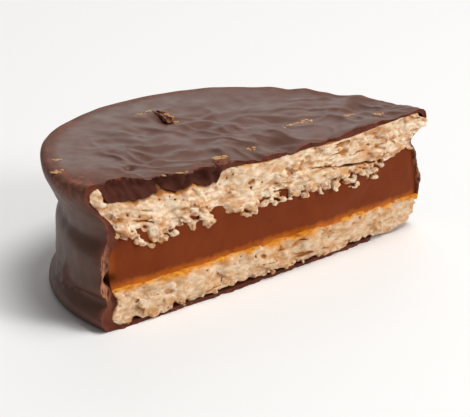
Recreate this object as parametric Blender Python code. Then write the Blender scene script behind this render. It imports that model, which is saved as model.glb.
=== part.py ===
"""Half of an alfajor: two biscuits with milk caramel between them, in a chocolate coating.

The half lies on its base, with the broken face towards -Y and the round side towards +Y.
Each piece is swept along the break. Its section at one column of the sweep is a closed line
that starts on the broken face, runs back to the round side and comes forward again.
"""

import math

import bmesh
import bpy
from mathutils import Vector, noise

MM = 0.001

# The whole biscuit, before it was broken
RIM_RADIUS = 31.8 * MM
HEIGHT = 18.9 * MM
TOP_TILT = math.radians(1.65)  # the top falls towards the right
TOP_CORNER = 0.9 * MM
RAISED_CORNER = 1.7 * MM  # the top corner at the right end of the break
BASE_CORNER = (0.7 * MM, 0.7 * MM)  # reach inwards, rise
CHIPPED_CORNER = (6.5 * MM, 3.0 * MM)  # the same at the right end of the break

# The side: a waist at the caramel, with a groove where each biscuit meets it
FOOT_INSET = 1.05 * MM  # the lower biscuit is smaller than the upper one, but for the two ends
WAIST_INSET = 1.8 * MM
WAIST_FOOT = (1.2 * MM, 4.2 * MM)
WAIST_SHOULDER = (11.5 * MM, 18.0 * MM)
UPPER_GROOVE = (11.6 * MM, 0.9 * MM, 1.3 * MM)  # height, depth, half width
LOWER_GROOVE = (3.6 * MM, 0.6 * MM, 1.1 * MM)
SIDE_UNEVEN = 0.45 * MM
SIDE_UNEVEN_LENGTH = 13.0 * MM
SCALLOP = 0.4 * MM  # ripples of the top that run out over the rim
SCALLOP_LENGTH = 4.2 * MM
SCALLOP_FOOT = (15.0 * MM, 18.9 * MM)

# Where breaking it bent the two ends of the break: height, depth inwards, half width
LEFT_DENTS = (
    (14.0 * MM, 2.0 * MM, 2.2 * MM),
    (0.0 * MM, 1.5 * MM, 1.6 * MM),
)
RIGHT_DENTS = (
    (14.8 * MM, 2.4 * MM, 1.4 * MM),
    (5.0 * MM, -2.5 * MM, 6.5 * MM),
)
END_SHARPNESS = 10

# Breaking it also bent the top: both ends of the break stand up, and its middle sags
LEFT_LIFT = 1.0 * MM
LEFT_LIFT_SPAN = (-27.0 * MM, -15.0 * MM)
RIGHT_LIFT = 1.15 * MM
RIGHT_LIFT_SPAN = (13.0 * MM, 30.0 * MM)
MIDDLE_SAG = (1.0 * MM, 0.6 * MM, 9.0 * MM)  # place, depth, half width
BEND_REACH = 7.0 * MM  # how far behind the break it fades
BEND_FOOT = 11.0 * MM  # the height below which nothing is bent

# The break: nearly along X, a little behind the centre, twisted from base to top
BREAK_OFFSET = 1.1 * MM
BREAK_BOW = 0.75 * MM
BREAK_TWIST = math.radians(5.6)

# The layers
GAP = 0.3 * MM
TOP_SKIN = 0.9 * MM
BASE_SKIN = 0.9 * MM
RIM_SKIN = 0.9 * MM
WAIST_SKIN = 1.6 * MM
FOOT_SKIN = 2.2 * MM  # chocolate gathers round the foot
WAIST_SKIN_SPAN = (7.0 * MM, 13.0 * MM)
LOWER_BISCUIT_TOP = 5.3 * MM
CARAMEL_TOP = 12.1 * MM

# The chocolate surface: soft folds left as it was blown level, bent by a slower swirl
RIPPLE_DEPTH = 0.5 * MM
RIPPLE_LENGTH = 5.2 * MM
SWIRL_LENGTH = 15.0 * MM
SWIRL_SHARE = 0.9
SWIRL_LAYERS = (0.0, 10.0, 20.0)  # one layer of noise for each direction it bends them

# The lip: chocolate dragged down over the broken face of the upper biscuit, on the left
LIP_DEPTH = 1.8 * MM
LIP_SPAN = (-29.0 * MM, -7.5 * MM)
LIP_TAPER = 6.0 * MM
LIP_REACH = 1.3 * MM

# The broken biscuit: crags on its face, and crumbs that hang over the caramel
CRAG_DEPTH = 0.6 * MM
CRAG_LENGTH = 2.1 * MM
DROOP = 2.1 * MM
DROOP_LENGTH = 4.6 * MM
DROOP_ENDS = (0.75, 0.95)  # shares of the radius over which the hanging crumbs fade out
CARAMEL_RECESS = 0.6 * MM
HANG_DEPTH = 0.25 * MM

# Scraps of chocolate that stuck to the top: place, half sizes, turn about Z
FLAKES = (
    (Vector((-1.0, 21.4)) * MM, Vector((1.0, 2.7, 0.7)) * MM, math.radians(-13)),
    (Vector((-8.8, 1.2)) * MM, Vector((1.4, 0.8, 0.6)) * MM, math.radians(12)),
)
FLAKE_JITTER = 0.25
FLAKE_LIFT = 0.2  # share of its half height that a flake's middle stands above the top

# Shares of a section, closer together where the surface turns
COLUMNS = 50
TOP_STEPS = 17
TOP_CROWDING = 1.35
BASE_SHARES = (0.0, 0.06, 0.3, 0.65, 0.93, 1.0)
INNER_SHARES = (0.0, 0.03, 0.09, 0.3, 0.65, 1.0)
WALL_SHARES = (0.02, 0.06, 0.1, 0.14, 0.17, 0.2, 0.23, 0.26, 0.3, 0.37, 0.47, 0.58)
WALL_SHARES += (0.69, 0.78, 0.85, 0.9, 0.945, 0.975, 0.99)
FACE_ROWS = 8
CORNER_STEPS = 6
END_FADE = 0.04
MERGE_DISTANCE = 2e-6
SHARP_ANGLE = math.radians(40)


def mix(a, b, share):
    return a + (b - a) * share


def smooth_step(low, high, value):
    share = min(max((value - low) / (high - low), 0.0), 1.0)
    return share * share * (3.0 - 2.0 * share)


def bump(value, centre, half_width):
    return math.exp(-(((value - centre) / half_width) ** 2))


def rounding(distance, reach, rise):
    """How far an elliptical corner stands in, at a distance from the flat that it meets."""
    rest = 1.0 - min(max(distance / rise, 0.0), 1.0)
    return reach * (1.0 - math.sqrt(1.0 - rest * rest))


def dents(height, places):
    return sum(depth * bump(height, centre, width) for centre, depth, width in places)


def side_inset(height, left_end, right_end):
    """How far the side stands in from the rim radius. Each end is 1 where the break meets it."""
    foot = smooth_step(*WAIST_FOOT, height)
    shoulder = smooth_step(*WAIST_SHOULDER, height)
    waist = WAIST_INSET * foot * (1.0 - shoulder)
    waist += FOOT_INSET * (1.0 - foot) * (1.0 - left_end - right_end)
    grooves = dents(height, (UPPER_GROOVE,)) + dents(height, (LOWER_GROOVE,)) * (1.0 - right_end)
    ends = dents(height, LEFT_DENTS) * left_end + dents(height, RIGHT_DENTS) * right_end
    top_corner = mix(TOP_CORNER, RAISED_CORNER, right_end)
    base_reach = mix(BASE_CORNER[0], CHIPPED_CORNER[0], right_end)
    base_rise = mix(BASE_CORNER[1], CHIPPED_CORNER[1], right_end)
    corners = rounding(HEIGHT - height, top_corner, top_corner)
    corners += rounding(height, base_reach, base_rise)
    return waist + grooves + ends + corners


def outer_radius(angle, height):
    """The radius of the chocolate at an angle about the centre, at a height above the base."""
    around = Vector((math.cos(angle), math.sin(angle), 0.0)) * RIM_RADIUS
    place = around + Vector((0.0, 0.0, height))
    uneven = SIDE_UNEVEN * noise.noise(place / SIDE_UNEVEN_LENGTH)
    scallop = SCALLOP * noise.noise(around / SCALLOP_LENGTH) * smooth_step(*SCALLOP_FOOT, height)
    left_end = max(-math.cos(angle), 0.0) ** END_SHARPNESS
    right_end = max(math.cos(angle), 0.0) ** END_SHARPNESS
    return RIM_RADIUS - side_inset(height, left_end, right_end) + uneven + scallop


def inner_radius(angle, height):
    """The radius inside the chocolate, which is thin at the rim and thick at the foot."""
    waist_low, waist_high = WAIST_SKIN_SPAN
    skin = mix(FOOT_SKIN, WAIST_SKIN, smooth_step(0.0, waist_low, height))
    skin = mix(skin, RIM_SKIN, smooth_step(waist_high, HEIGHT, height))
    stretched = (height - BASE_SKIN) * HEIGHT / (HEIGHT - TOP_SKIN - BASE_SKIN)
    return outer_radius(angle, stretched) - skin


def layer_radius(angle, height):
    return inner_radius(angle, height) - GAP


def break_line(x, height):
    """The break's Y at an X, on a level at this height."""
    turn = BREAK_TWIST * (0.5 - height / HEIGHT)
    return BREAK_OFFSET - BREAK_BOW * (1.0 - (x / RIM_RADIUS) ** 2) + math.tan(turn) * x


def behind_break(x, y):
    return max(y - break_line(x, HEIGHT), 0.0)


def flat(height):
    """A level surface, as a function of the place."""
    return lambda x, y: height


def rippled_top(x, y):
    place = Vector((x, y, 0.0))
    slow = place / SWIRL_LENGTH
    swirl = Vector([noise.noise(slow + Vector((0.0, 0.0, layer))) for layer in SWIRL_LAYERS])
    return HEIGHT + RIPPLE_DEPTH * noise.noise(place / RIPPLE_LENGTH + swirl * SWIRL_SHARE)


def under_top_skin(x, y):
    """The underside of the top skin, which comes down as a lip over the broken face."""
    start, end = LIP_SPAN
    along = smooth_step(start, start + LIP_TAPER, x) - smooth_step(end - LIP_TAPER, end, x)
    return HEIGHT - TOP_SKIN - LIP_DEPTH * along * math.exp(-behind_break(x, y) / LIP_REACH)


def biscuit_top(x, y):
    return under_top_skin(x, y) - GAP


def crags(point, seed):
    """Coarse relief of a broken biscuit face."""
    place = Vector((point.x, seed, point.z)) / CRAG_LENGTH
    return CRAG_DEPTH * noise.fractal(place, 0.8, 2.0, 3)


def droop(x):
    """How far the crumbs of the upper biscuit hang below it at the break."""
    ragged = 0.5 + 0.9 * noise.fractal(Vector((x, 0.0, 7.0 * MM)) / DROOP_LENGTH, 0.8, 2.0, 2)
    fade = 1.0 - smooth_step(*DROOP_ENDS, abs(x) / RIM_RADIUS)
    return DROOP * min(max(ragged, 0.0), 1.0) * fade


def corner(side, height, radius, recess):
    """Where the break meets the round side, on the left (-1) or on the right (1)."""
    x = side * RIM_RADIUS
    for _ in range(CORNER_STEPS):
        y = break_line(x, height) + recess
        x = side * math.sqrt(radius(math.atan2(y, x), height) ** 2 - y * y)
    return Vector((x, break_line(x, height) + recess))


def plan_point(column, depth, height, radius, recess):
    """A point of the plan. Column 0 to 1 runs left to right, depth 0 to 1 from the break back."""
    left = corner(-1, height, radius, recess)
    right = corner(1, height, radius, recess)
    x = mix(left.x, right.x, column)
    front = Vector((x, break_line(x, height) + recess))
    turn_left = math.atan2(left.y, left.x) % (2.0 * math.pi)
    turn_right = math.atan2(right.y, right.x)
    angle = mix(turn_left, turn_right, column)
    back = Vector((math.cos(angle), math.sin(angle))) * radius(angle, height)
    return front.lerp(back, depth)


def level_rows(column, depths, height, level, radius, recess=0.0):
    """Points across the plan at one height, each then lifted to the level function's height."""
    rows = []
    for depth in depths:
        place = plan_point(column, depth, height, radius, recess)
        rows.append(Vector((place.x, place.y, level(place.x, place.y))))
    return rows


def wall_rows(column, depth, shares, start, end, radius, recess=0.0):
    """Points up or down one side of a layer, between the heights of two points at its edges."""
    rows = []
    for share in shares:
        height = mix(start.z, end.z, share)
        place = plan_point(column, depth, height, radius, recess)
        rows.append(Vector((place.x, place.y, height)))
    return rows


def coating_section(column):
    """A C of chocolate, open towards the break: the outer skin, then the inner skin back."""
    top_shares = [(step / (TOP_STEPS - 1)) ** TOP_CROWDING for step in range(TOP_STEPS)]
    outer_top = level_rows(column, top_shares, HEIGHT, rippled_top, outer_radius)
    outer_base = level_rows(column, reversed(BASE_SHARES), 0.0, flat(0.0), outer_radius)
    rim = outer_top[-1]
    level_rim = Vector((rim.x, rim.y, HEIGHT))
    outer_side = wall_rows(column, 1.0, WALL_SHARES, level_rim, outer_base[0], outer_radius)
    for point in outer_side:
        point.z += (rim.z - HEIGHT) * smooth_step(*SCALLOP_FOOT, point.z)
    inner_base = level_rows(column, INNER_SHARES, BASE_SKIN, flat(BASE_SKIN), inner_radius)
    under_top = HEIGHT - TOP_SKIN
    inner_top = level_rows(column, reversed(INNER_SHARES), under_top, under_top_skin, inner_radius)
    upwards = [1.0 - share for share in reversed(WALL_SHARES)]
    inner_side = wall_rows(column, 1.0, upwards, inner_base[-1], inner_top[0], inner_radius)
    return outer_top + outer_side + outer_base + inner_base + inner_side + inner_top


def coating_end(section):
    """The broken edge of the side coating, as quads between its outer line and its inner line."""
    rungs = len(WALL_SHARES) + 1
    first_outer = TOP_STEPS - 1
    last_inner = len(section) - len(INNER_SHARES)
    quads = []
    for rung in range(rungs):
        outer = first_outer + rung
        inner = last_inner - rung
        quads.append((section[outer], section[outer + 1], section[inner - 1], section[inner]))
    return quads


def layer_section(column, layer):
    """A closed line: up the broken face, back over the layer, down its side, forward under it."""
    recess = layer["recess"]
    low, base_level = layer["base"]
    high, top_level = layer["top"]
    base = level_rows(column, reversed(INNER_SHARES), low, base_level, layer_radius, recess)
    top = level_rows(column, INNER_SHARES, high, top_level, layer_radius, recess)
    shares = [row / FACE_ROWS for row in range(1, FACE_ROWS)]
    side = wall_rows(column, 1.0, shares, top[-1], base[0], layer_radius, recess)
    face = wall_rows(column, 0.0, shares, base[-1], top[0], layer_radius, recess)
    fade = smooth_step(0.0, END_FADE, column) - smooth_step(1.0 - END_FADE, 1.0, column)
    if "crag_seed" in layer:
        for point in face:
            point.y -= crags(point, layer["crag_seed"]) * fade
    if layer.get("crumbs_hang"):
        foot = base[-1].copy()
        foot.z -= droop(foot.x) * fade
        base[-1].y += HANG_DEPTH * fade
        face.insert(0, foot)
    return face + top + side + base


def swept_mesh(name, sections, end_quads=None):
    """A closed mesh through sections with equal numbers of points."""
    bm = bmesh.new()
    lines = [[bm.verts.new(point) for point in section] for section in sections]
    count = len(lines[0])
    for left, right in zip(lines, lines[1:]):
        for row in range(count):
            after = (row + 1) % count
            bm.faces.new((left[row], right[row], right[after], left[after]))
    if end_quads:
        for quad in end_quads(lines[0]) + end_quads(lines[-1]):
            bm.faces.new(quad)
    bmesh.ops.remove_doubles(bm, verts=bm.verts, dist=MERGE_DISTANCE)
    bmesh.ops.dissolve_degenerate(bm, edges=bm.edges, dist=MERGE_DISTANCE)
    bmesh.ops.triangulate(bm, faces=bm.faces)
    bmesh.ops.recalc_face_normals(bm, faces=bm.faces)
    mesh = bpy.data.meshes.new(name)
    bm.to_mesh(mesh)
    bm.free()
    return mesh


def make_material(name, colour, roughness):
    material = bpy.data.materials.new(name)
    material.use_nodes = True
    shader = material.node_tree.nodes["Principled BSDF"]
    shader.inputs["Base Color"].default_value = (*colour, 1.0)
    shader.inputs["Roughness"].default_value = roughness
    shader.inputs["Metallic"].default_value = 0.0
    return material


def add_piece(name, mesh, material):
    piece = bpy.data.objects.new(name, mesh)
    mesh.materials.append(material)
    mesh.shade_smooth()
    mesh.set_sharp_from_angle(angle=SHARP_ANGLE)
    bpy.context.scene.collection.objects.link(piece)
    return piece


def sweep(section_of, *details):
    return [section_of(step / COLUMNS, *details) for step in range(COLUMNS + 1)]


def make_layer(name, layer, material):
    return add_piece(name, swept_mesh(name, sweep(layer_section, layer)), material)


def make_flake(index, place, half_sizes, turn):
    """A small uneven scrap of chocolate, sunk to about its middle in the top skin."""
    bm = bmesh.new()
    bmesh.ops.create_icosphere(bm, subdivisions=2, radius=1.0)
    for vert in bm.verts:
        vert.co *= 1.0 + FLAKE_JITTER * noise.noise(vert.co * 1.7 + Vector((index, 0.0, 0.0)))
    mesh = bpy.data.meshes.new("flake")
    bm.to_mesh(mesh)
    bm.free()
    flake = bpy.data.objects.new("flake", mesh)
    surface = rippled_top(place.x, place.y)
    flake.location = (place.x, place.y, surface + half_sizes.z * FLAKE_LIFT)
    flake.rotation_euler = (0.0, 0.0, turn)
    flake.scale = half_sizes
    return flake


def fuse_flakes(coating):
    """Joins the flakes to the coating with one Boolean union, then removes them."""
    scraps = bpy.data.collections.new("flakes")
    bpy.context.scene.collection.children.link(scraps)
    for index, flake in enumerate(FLAKES):
        scraps.objects.link(make_flake(index, *flake))
    union = coating.modifiers.new("join flakes", "BOOLEAN")
    union.operation = "UNION"
    union.operand_type = "COLLECTION"
    union.collection = scraps
    union.solver = "EXACT"
    bpy.context.view_layer.update()
    graph = bpy.context.evaluated_depsgraph_get()
    joined = bpy.data.meshes.new_from_object(coating.evaluated_get(graph))
    coating.modifiers.clear()
    coating.data = joined
    for flake in list(scraps.objects):
        bpy.data.objects.remove(flake)
    bpy.data.collections.remove(scraps)


def bend_top(pieces):
    """Lifts both ends of the break and lowers its middle, the more the higher up."""
    for piece in pieces:
        for vert in piece.data.vertices:
            x, y, z = vert.co
            bend = LEFT_LIFT * (1.0 - smooth_step(*LEFT_LIFT_SPAN, x))
            bend += RIGHT_LIFT * smooth_step(*RIGHT_LIFT_SPAN, x)
            bend -= dents(x, (MIDDLE_SAG,))
            fade = math.exp(-behind_break(x, y) / BEND_REACH)
            vert.co.z += bend * fade * smooth_step(BEND_FOOT, HEIGHT, z)


def tilt_top(pieces):
    """Makes the whole half thinner towards the right, every layer in proportion."""
    for piece in pieces:
        for vert in piece.data.vertices:
            vert.co.z *= 1.0 - math.tan(TOP_TILT) * vert.co.x / HEIGHT


def stand_at_origin(pieces):
    """Moves the meshes so that the origin is at the bottom centre of the box round them all."""
    points = [vert.co for piece in pieces for vert in piece.data.vertices]
    low = Vector([min(point[axis] for point in points) for axis in range(3)])
    high = Vector([max(point[axis] for point in points) for axis in range(3)])
    shift = -Vector(((low.x + high.x) / 2, (low.y + high.y) / 2, low.z))
    for piece in pieces:
        for vert in piece.data.vertices:
            vert.co += shift


def main():
    for old in list(bpy.data.objects):
        bpy.data.objects.remove(old)
    chocolate = make_material("dark chocolate", (0.06, 0.027, 0.02), 0.35)
    biscuit = make_material("baked biscuit", (0.69, 0.47, 0.29), 0.85)
    caramel = make_material("milk caramel", (0.2, 0.055, 0.018), 0.45)

    skin = swept_mesh("chocolate_coating", sweep(coating_section), coating_end)
    coating = add_piece("chocolate_coating", skin, chocolate)
    fuse_flakes(coating)

    upper_low = CARAMEL_TOP + GAP
    upper = {
        "base": (upper_low, flat(upper_low)),
        "top": (HEIGHT - TOP_SKIN - GAP, biscuit_top),
        "recess": 0.0,
        "crag_seed": 0.0,
        "crumbs_hang": True,
    }
    filling_low = LOWER_BISCUIT_TOP + GAP
    filling = {
        "base": (filling_low, flat(filling_low)),
        "top": (CARAMEL_TOP, flat(CARAMEL_TOP)),
        "recess": CARAMEL_RECESS,
    }
    lower_low = BASE_SKIN + GAP
    lower = {
        "base": (lower_low, flat(lower_low)),
        "top": (LOWER_BISCUIT_TOP, flat(LOWER_BISCUIT_TOP)),
        "recess": 0.0,
        "crag_seed": 50.0 * MM,
    }
    pieces = [
        coating,
        make_layer("upper_biscuit", upper, biscuit),
        make_layer("caramel_filling", filling, caramel),
        make_layer("lower_biscuit", lower, biscuit),
    ]
    bend_top(pieces)
    tilt_top(pieces)
    stand_at_origin(pieces)


main()
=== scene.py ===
# %% [markdown]
# # Half an alfajor
# An alfajor is two soft biscuits with a thick layer of milk caramel between them, all under a
# skin of chocolate. This one was broken in two, so one side shows every layer. The CAD model
# is loaded first, because it fixes the size and the place of each layer. Then each layer is
# built again on the same measures, with the fine surface that the real one has.

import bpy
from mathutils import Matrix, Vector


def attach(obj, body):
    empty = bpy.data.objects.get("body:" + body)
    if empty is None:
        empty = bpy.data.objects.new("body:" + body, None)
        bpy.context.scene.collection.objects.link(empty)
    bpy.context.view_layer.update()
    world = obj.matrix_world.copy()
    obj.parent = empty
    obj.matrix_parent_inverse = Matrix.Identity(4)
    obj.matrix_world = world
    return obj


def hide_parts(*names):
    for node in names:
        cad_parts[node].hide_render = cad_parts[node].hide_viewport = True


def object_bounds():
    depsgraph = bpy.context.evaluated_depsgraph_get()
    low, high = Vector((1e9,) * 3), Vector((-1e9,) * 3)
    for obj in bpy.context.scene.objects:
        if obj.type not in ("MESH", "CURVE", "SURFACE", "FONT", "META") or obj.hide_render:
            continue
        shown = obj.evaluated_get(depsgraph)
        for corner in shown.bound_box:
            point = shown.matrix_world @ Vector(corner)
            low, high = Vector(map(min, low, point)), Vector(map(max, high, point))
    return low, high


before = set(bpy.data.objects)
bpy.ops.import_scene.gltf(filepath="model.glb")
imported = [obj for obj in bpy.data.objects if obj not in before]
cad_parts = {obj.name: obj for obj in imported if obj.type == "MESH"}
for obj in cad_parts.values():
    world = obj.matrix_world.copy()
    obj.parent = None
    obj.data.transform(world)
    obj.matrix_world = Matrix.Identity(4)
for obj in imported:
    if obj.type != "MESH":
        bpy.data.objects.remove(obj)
cad_box = [list(corner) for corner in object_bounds()]

import math
import random

import bmesh
import bpy
import numpy as np
from mathutils import Matrix, Vector, noise

print("CAD box in mm:", [[round(value * 1000, 1) for value in corner] for corner in cad_box])

# %% [markdown]
# ## Measures
# A broken biscuit has no straight line in it, but it still has a plan: a disc with a waist,
# cut by a nearly flat break. All the numbers are in millimetres and are those of the CAD
# source. They are given round the middle of the whole biscuit, with the base at zero. One
# function at the end bends and tilts the finished points as the real top is bent and tilted,
# and moves them into the CAD model's place.

# %% The shape of the whole biscuit
RIM_RADIUS = 31.8
HEIGHT = 18.9
TOP_TILT = math.radians(1.65)
TOP_CORNER = 0.9  # radius of the rim's rounding, except at the raised right end
RAISED_CORNER = 1.7
BASE_CORNER = (0.7, 0.7)  # reach and rise of the rounding, except at the chipped right end
CHIPPED_CORNER = (6.5, 3.0)
FOOT_INSET = 1.05
WAIST_INSET = 1.8
WAIST_FOOT = (1.2, 4.2)  # heights between which the foot turns into the waist
WAIST_SHOULDER = (11.5, 18.0)  # heights between which the waist turns into the rim
UPPER_GROOVE = (11.6, 0.9, 1.3)  # a dent's height, depth and half width
LOWER_GROOVE = (3.6, 0.6, 1.1)
LEFT_DENTS = ((14.0, 2.0, 2.2), (0.0, 1.5, 1.6))
RIGHT_DENTS = ((14.8, 2.4, 1.4), (5.0, -2.5, 6.5))
END_SHARPNESS = 10  # how closely a dent of one end keeps to that end
MIDDLE = (-0.7208, -15.6343)  # of the whole biscuit, in the CAD model's frame


def mix(a, b, share):
    return a + (b - a) * share


def smooth_step(low, high, value):
    """From 0 at low to 1 at high, and flat beyond. Low may be the larger of the two."""
    share = np.clip((value - low) / (high - low), 0.0, 1.0)
    return share * share * (3.0 - 2.0 * share)


def bump(value, centre, width):
    """A smooth hill of height 1."""
    return np.exp(-(((value - centre) / width) ** 2))


def dents(height, places):
    return sum(depth * bump(height, centre, width) for centre, depth, width in places)


def rounding(distance, reach, rise):
    """How far a rounded corner pulls the side in, at this distance from its flat face."""
    rest = 1.0 - np.clip(distance / rise, 0.0, 1.0)
    return reach * (1.0 - np.sqrt(1.0 - rest * rest))


def soft_noise(x, y, z, length):
    """Blender's own noise at many places at once. Length is the size of its bumps in mm."""
    x, y, z = np.broadcast_arrays(x, y, z)
    points = np.stack([x, y, z], axis=-1).reshape(-1, 3) / length
    return np.array([noise.noise(point) for point in points.tolist()]).reshape(x.shape)


def ends(angle):
    """How near this is to the left and to the right end of the break, from 0 to 1."""
    return [np.maximum(side * np.cos(angle), 0.0) ** END_SHARPNESS for side in (-1, 1)]


def outer_radius(angle, height):
    """The waist, foot and dents of the side, then small scallops where the folds end at the rim."""
    foot = smooth_step(*WAIST_FOOT, height)
    shoulder = smooth_step(*WAIST_SHOULDER, height)
    left_end, right_end = ends(angle)
    inset = WAIST_INSET * foot * (1.0 - shoulder)
    inset = inset + dents(height, (UPPER_GROOVE,)) * (1.0 - 0.8 * right_end)
    inset = inset + FOOT_INSET * (1.0 - foot) * (1.0 - left_end - right_end)
    inset = inset + dents(height, (LOWER_GROOVE,)) * (1.0 - right_end)
    inset = inset + dents(height, LEFT_DENTS) * left_end + dents(height, RIGHT_DENTS) * right_end
    top_corner = mix(TOP_CORNER, RAISED_CORNER, right_end)
    inset = inset + rounding(HEIGHT - height, top_corner, top_corner)
    base_reach = mix(BASE_CORNER[0], CHIPPED_CORNER[0], right_end)
    inset = inset + rounding(height, base_reach, mix(BASE_CORNER[1], CHIPPED_CORNER[1], right_end))
    around_x = np.cos(angle) * RIM_RADIUS
    around_y = np.sin(angle) * RIM_RADIUS
    uneven = 0.45 * soft_noise(around_x, around_y, height, 13.0)
    scallop = mix(0.04, 0.45, smooth_step(1.1, 0.6, angle)) * smooth_step(15.0, HEIGHT, height)
    scallop = scallop * soft_noise(around_x, around_y, 0.0, 4.2)
    return RIM_RADIUS - inset + uneven + scallop


# %% The inside of the chocolate, and the break
TOP_SKIN = 0.9  # how far below the top the inner sheet's side starts
BASE_SKIN = 0.5


def inner_radius(angle, height):
    """The chocolate is thin at the rim and the right end, and thick at the foot, where it gathered."""
    left_end, right_end = ends(angle)
    skin = mix(2.0, 1.5, smooth_step(0.0, 7.0, height))
    skin = mix(skin, mix(0.9, 0.65, left_end), smooth_step(12.0, 15.0, height))
    skin = skin * mix(1.0, 0.42, right_end)
    stretched = height + TOP_SKIN * smooth_step(15.4, HEIGHT - TOP_SKIN, height)
    stretched = stretched - BASE_SKIN * smooth_step(2.4, BASE_SKIN, height)
    return outer_radius(angle, stretched) - skin


def break_line(x, height):
    """Y of the break. Its middle stands forward a little, and it turns from the base to the top."""
    turn = np.tan(math.radians(5.6) * (0.5 - height / HEIGHT))
    return 1.1 - 0.75 * (1.0 - (x / RIM_RADIUS) ** 2) + turn * x


def behind(x, y):
    """Distance behind the upper edge of the break."""
    return np.maximum(y - break_line(x, HEIGHT), 0.0)


def corner(side, height, radius):
    """X and Y where the break meets the round side, on the left (-1) or on the right (1)."""
    x = side * RIM_RADIUS
    for _ in range(6):
        y = break_line(x, height)
        x = side * math.sqrt(float(radius(math.atan2(y, x), height)) ** 2 - y * y)
    return x, float(break_line(x, height))


def plan_row(columns, height, radius):
    """Points of one level: the front ones along the break, and the back ones round the side."""
    height = np.broadcast_to(height, columns.shape)
    left_x, left_y = corner(-1, height[0], radius)
    right_x, right_y = corner(1, height[-1], radius)
    x = mix(left_x, right_x, columns)
    front = np.stack([x, break_line(x, height)], axis=-1)
    angle = mix(math.atan2(left_y, left_x) % (2.0 * math.pi), math.atan2(right_y, right_x), columns)
    reach = radius(angle, height)
    back = np.stack([np.cos(angle) * reach, np.sin(angle) * reach], axis=-1)
    return front, back


# %% The way back to the CAD model's place
def bend(x):
    """Breaking it bent the top: both ends of the break stand up, and its middle sags."""
    raised = 1.0 - smooth_step(-27.0, -15.0, x) + 1.15 * smooth_step(13.0, 30.0, x)
    return raised - 0.6 * bump(x, 1.0, 9.0)


def settled(points):
    """Bends, tilts and moves points in mm to the CAD model's place in metres, inside its box."""
    placed = np.array(points, dtype=float)
    x, y, z = placed.T
    placed[:, 2] = z + bend(x) * np.exp(-behind(x, y) / 7.0) * smooth_step(11.0, HEIGHT, z)
    placed[:, 2] *= 1.0 - math.tan(TOP_TILT) * x / HEIGHT
    placed[:, 0] += MIDDLE[0]
    placed[:, 1] += MIDDLE[1]
    return np.clip(placed * 0.001, *cad_box)


left_x, right_x = (corner(side, HEIGHT / 2.0, outer_radius)[0] for side in (-1, 1))
print("the break is", round(right_x - left_x, 1), "mm long")

# %% [markdown]
# ## Random detail that is the same each time
# Crumb, pores and ragged edges are random, but a script has to give the same object each run.
# So the noise is worked out from whole numbers with a fixed recipe, a hash, and not from the
# clock. Value noise gives soft lumps. Cell noise gives the distance to the nearest of many
# scattered points, which is just how crumbs and bubbles sit in a biscuit.

# %% Noise on whole arrays
def hashed(ix, iy, iz, seed):
    """A number from 0 to 1 for each whole-number place."""
    mixed = ix * 374761393 + iy * 668265263 + iz * 1440662683 + seed * 974634777
    mixed = (mixed & 0xFFFFFFFF).astype(np.uint64)
    mixed = ((mixed ^ (mixed >> np.uint64(13))) * np.uint64(1274126177)) & np.uint64(0xFFFFFFFF)
    mixed = ((mixed ^ (mixed >> np.uint64(16))) * np.uint64(2246822519)) & np.uint64(0xFFFFFFFF)
    return (mixed ^ (mixed >> np.uint64(15))).astype(float) / 4294967296.0


def lumps(points, size, seed):
    """Value noise from -1 to 1. Size is the lump size in mm, one number or one for each axis."""
    scaled = points / np.asarray(size)
    low = np.floor(scaled).astype(np.int64)
    part = scaled - low
    part = part * part * (3.0 - 2.0 * part)
    total = 0.0
    for dx in (0, 1):
        for dy in (0, 1):
            for dz in (0, 1):
                weight = np.where(dx, part[..., 0], 1.0 - part[..., 0])
                weight = weight * np.where(dy, part[..., 1], 1.0 - part[..., 1])
                weight = weight * np.where(dz, part[..., 2], 1.0 - part[..., 2])
                ix, iy, iz = low[..., 0] + dx, low[..., 1] + dy, low[..., 2] + dz
                total = total + weight * hashed(ix, iy, iz, seed)
    return total * 2.0 - 1.0


def crumble(points, size, seed, octaves=3):
    """Lumps with finer lumps on them. Each octave is half as large and half as high."""
    finer = [(octave, 2.0**octave) for octave in range(octaves)]
    return sum(lumps(points, size / share, seed + octave) / share for octave, share in finer)


def along(x, size, seed):
    """Lumps along a line."""
    x = np.asarray(x, dtype=float)
    return lumps(np.stack([x, 0.0 * x, 0.0 * x], axis=-1), size, seed)


def cells(points, size, seed):
    """Distance in mm to the nearest scattered point, and that point's own random number."""
    scaled = points / size
    low = np.floor(scaled).astype(np.int64)
    nearest = np.full(points.shape[:-1], 9.0)
    owner = np.zeros(points.shape[:-1])
    for dx in (-1, 0, 1):
        for dy in (-1, 0, 1):
            for dz in (-1, 0, 1):
                ix, iy, iz = low[..., 0] + dx, low[..., 1] + dy, low[..., 2] + dz
                gap_x = ix + hashed(ix, iy, iz, seed) - scaled[..., 0]
                gap_y = iy + hashed(ix, iy, iz, seed + 1) - scaled[..., 1]
                gap_z = iz + hashed(ix, iy, iz, seed + 2) - scaled[..., 2]
                gap = gap_x**2 + gap_y**2 + gap_z**2
                closer = gap < nearest
                nearest = np.where(closer, gap, nearest)
                owner = np.where(closer, hashed(ix, iy, iz, seed + 3), owner)
    return np.sqrt(nearest) * size, owner


# %% Meshes and objects
def make_mesh(name, points, faces):
    mesh = bpy.data.meshes.new(name)
    mesh.from_pydata(settled(points).tolist(), [], faces)
    mesh.validate()
    mesh.shade_smooth()
    return mesh


def store(mesh, name, values):
    """Keeps a number for each point of the mesh, or one for all, for the materials to read."""
    layer = mesh.attributes.new(name, "FLOAT", "POINT")
    layer.data.foreach_set("value", np.broadcast_to(values, len(mesh.vertices)).astype(np.float32))


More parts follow.
